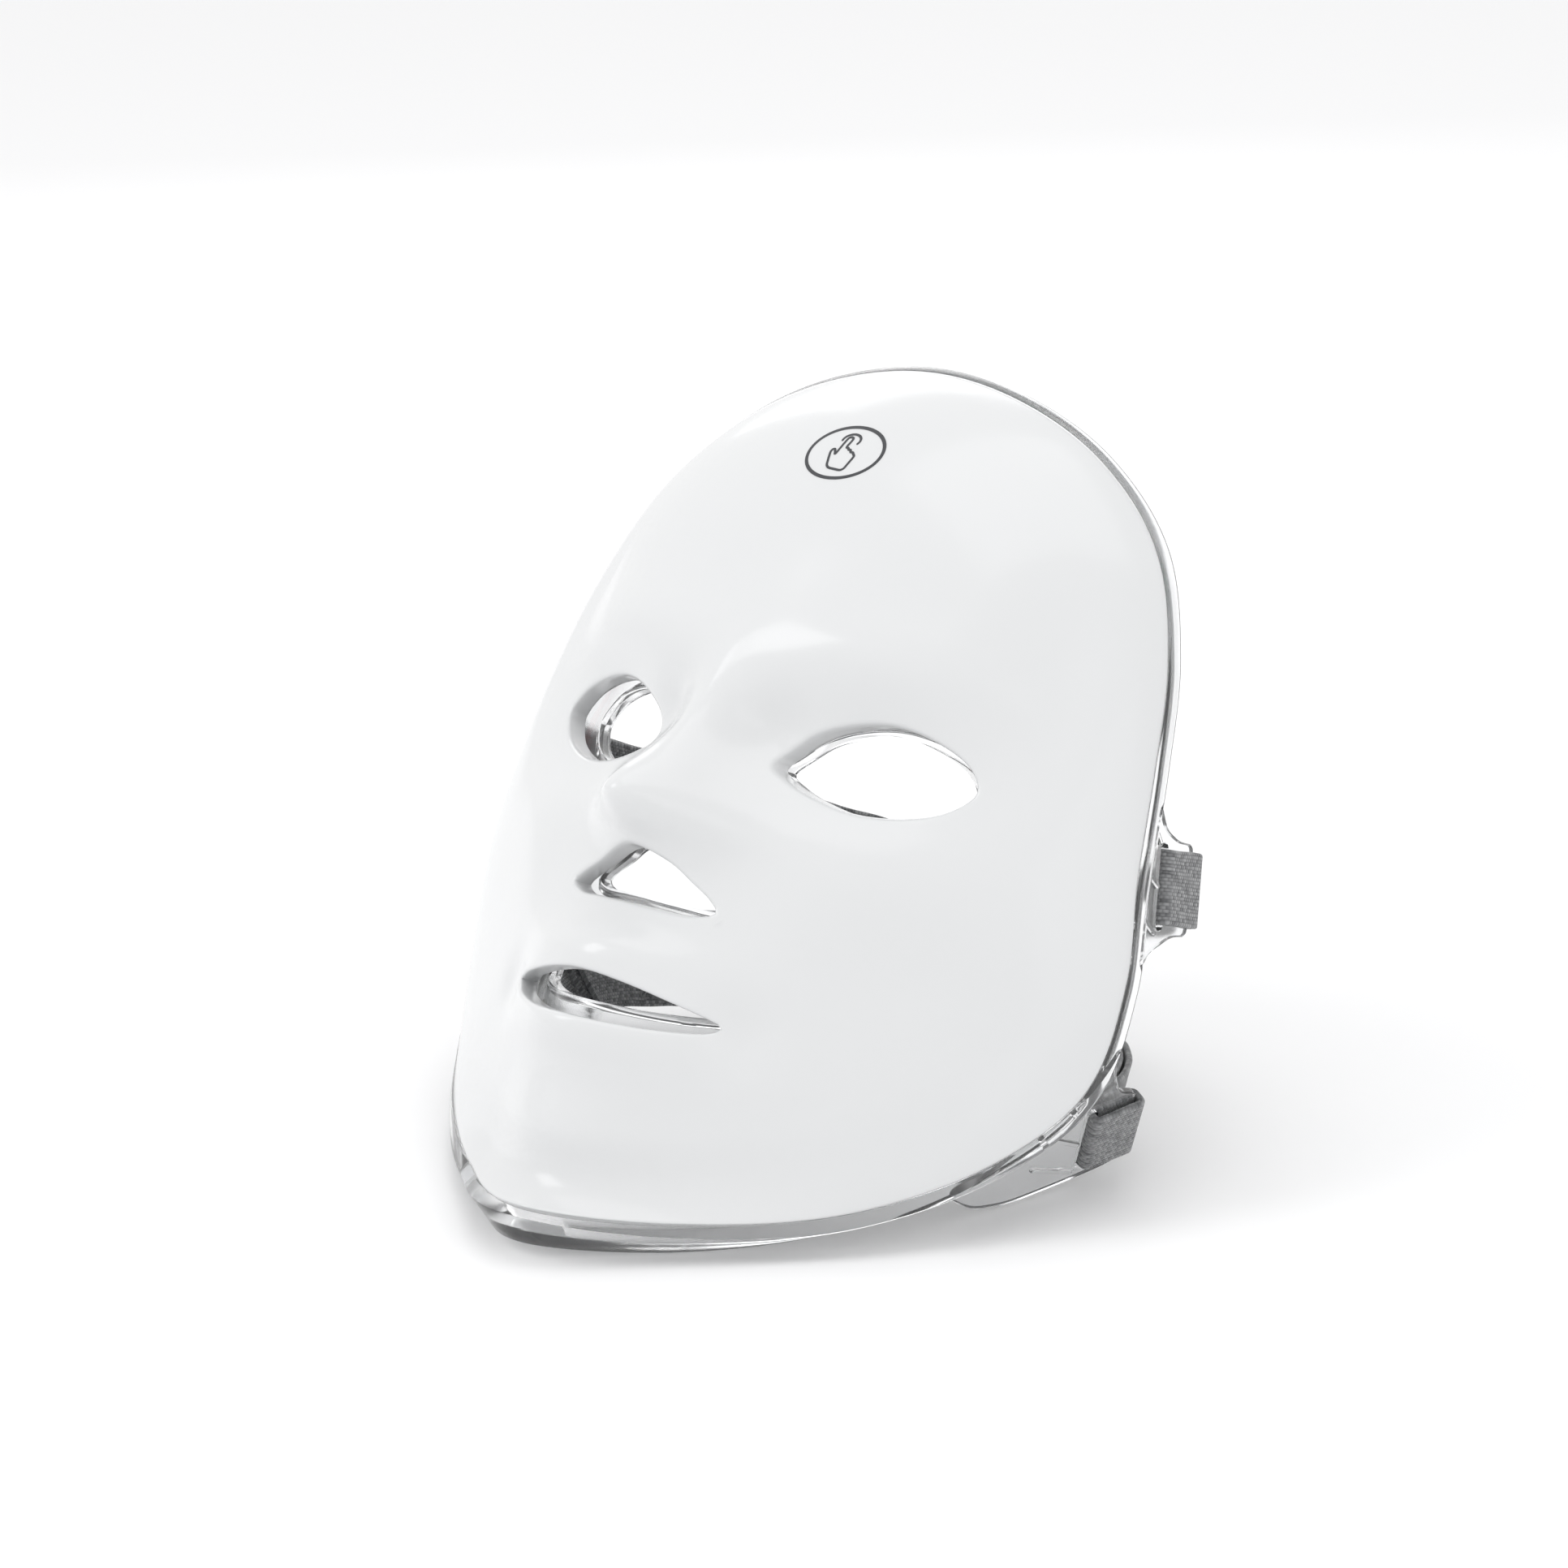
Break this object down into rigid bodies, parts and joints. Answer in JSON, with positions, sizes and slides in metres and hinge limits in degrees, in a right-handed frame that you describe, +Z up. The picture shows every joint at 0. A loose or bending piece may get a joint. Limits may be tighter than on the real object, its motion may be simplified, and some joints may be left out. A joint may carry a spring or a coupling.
{
  "type": "led face mask",
  "caption": "Rigid LED light-therapy face mask: glossy white front over a clear inner shell, lit from inside, with two elastic head straps.",
  "frame": {"origin": "centre of the whole part's footprint, on the surface it stands on", "axes": "+X to the wearer's left, -Y out through the nose, +Z up; the part stands on its chin and two lower strap ears, leaning back"},
  "size_m": [0.1964, 0.192, 0.1735],
  "materials": {
    "gloss_white": "gloss, smooth moulded",
    "clear_plastic": "clear, smooth moulded",
    "print": "flat printed ink",
    "elastic": "grey knitted elastic webbing",
    "led_board": "white circuit board",
    "controller": "green circuit board",
    "foil": "soft foil pouch",
    "copper": "bare copper pad",
    "steel": "bright stamped shell",
    "wire": "ribbon of covered wires",
    "dark_wire": "pair of covered wires"
  },
  "bodies": {
    "mask": {"front_shell": "gloss_white", "face_shell": "clear_plastic", "touch_ring": "print", "touch_hand": "print", "touch_arc": "print", "upper_left_strap_loop": "elastic", "upper_right_strap_loop": "elastic", "lower_left_strap_loop": "elastic", "lower_right_strap_loop": "elastic", "forehead_led_board": "led_board", "left_cheek_led_board": "led_board", "right_cheek_led_board": "led_board", "left_jaw_led_board": "led_board", "right_jaw_led_board": "led_board", "chin_led_board": "led_board", "control_board": "controller", "charge_board": "controller", "battery_cell": "foil", "touch_pad": "copper", "charge_socket": "steel", "left_side_loom": "wire", "right_side_loom": "wire", "left_jaw_loom": "wire", "right_jaw_loom": "wire", "control_loom": "wire", "chin_loom": "dark_wire", "charge_loom": "dark_wire", "battery_loom": "dark_wire"},
    "upper_strap": {"upper_strap_band": "elastic"},
    "lower_strap": {"lower_strap_band": "elastic"},
    "upper_left_end": {"upper_left_strap_end": "elastic"},
    "upper_right_end": {"upper_right_strap_end": "elastic"},
    "lower_left_end": {"lower_left_strap_end": "elastic"},
    "lower_right_end": {"lower_right_strap_end": "elastic"}
  },
  "joints": [
    {"name": "upper_strap_swing", "type": "hinge", "parent": "mask", "child": "upper_strap", "pos_m": [0, 0.0289, 0.0699], "axis": [1, 0, 0], "range_deg": [-8, 25]},
    {"name": "lower_strap_swing", "type": "hinge", "parent": "mask", "child": "lower_strap", "pos_m": [0, 0.0148, 0.0149], "axis": [1, 0, 0], "range_deg": [-15, 8]},
    {"name": "upper_left_end_peel", "type": "hinge", "parent": "upper_strap", "child": "upper_left_end", "pos_m": [0.0868, 0.0279, 0.0694], "axis": [-0.128, 0.325, 0.937], "range_deg": [0, 80]},
    {"name": "upper_right_end_peel", "type": "hinge", "parent": "upper_strap", "child": "upper_right_end", "pos_m": [-0.0868, 0.0279, 0.0694], "axis": [-0.128, -0.325, -0.937], "range_deg": [0, 80]},
    {"name": "lower_left_end_peel", "type": "hinge", "parent": "lower_strap", "child": "lower_left_end", "pos_m": [0.0776, 0.0155, 0.01805], "axis": [0.413, -0.238, 0.8791], "range_deg": [0, 80]},
    {"name": "lower_right_end_peel", "type": "hinge", "parent": "lower_strap", "child": "lower_right_end", "pos_m": [-0.0776, 0.0155, 0.01805], "axis": [0.413, 0.238, -0.8791], "range_deg": [0, 80]}
  ]
}
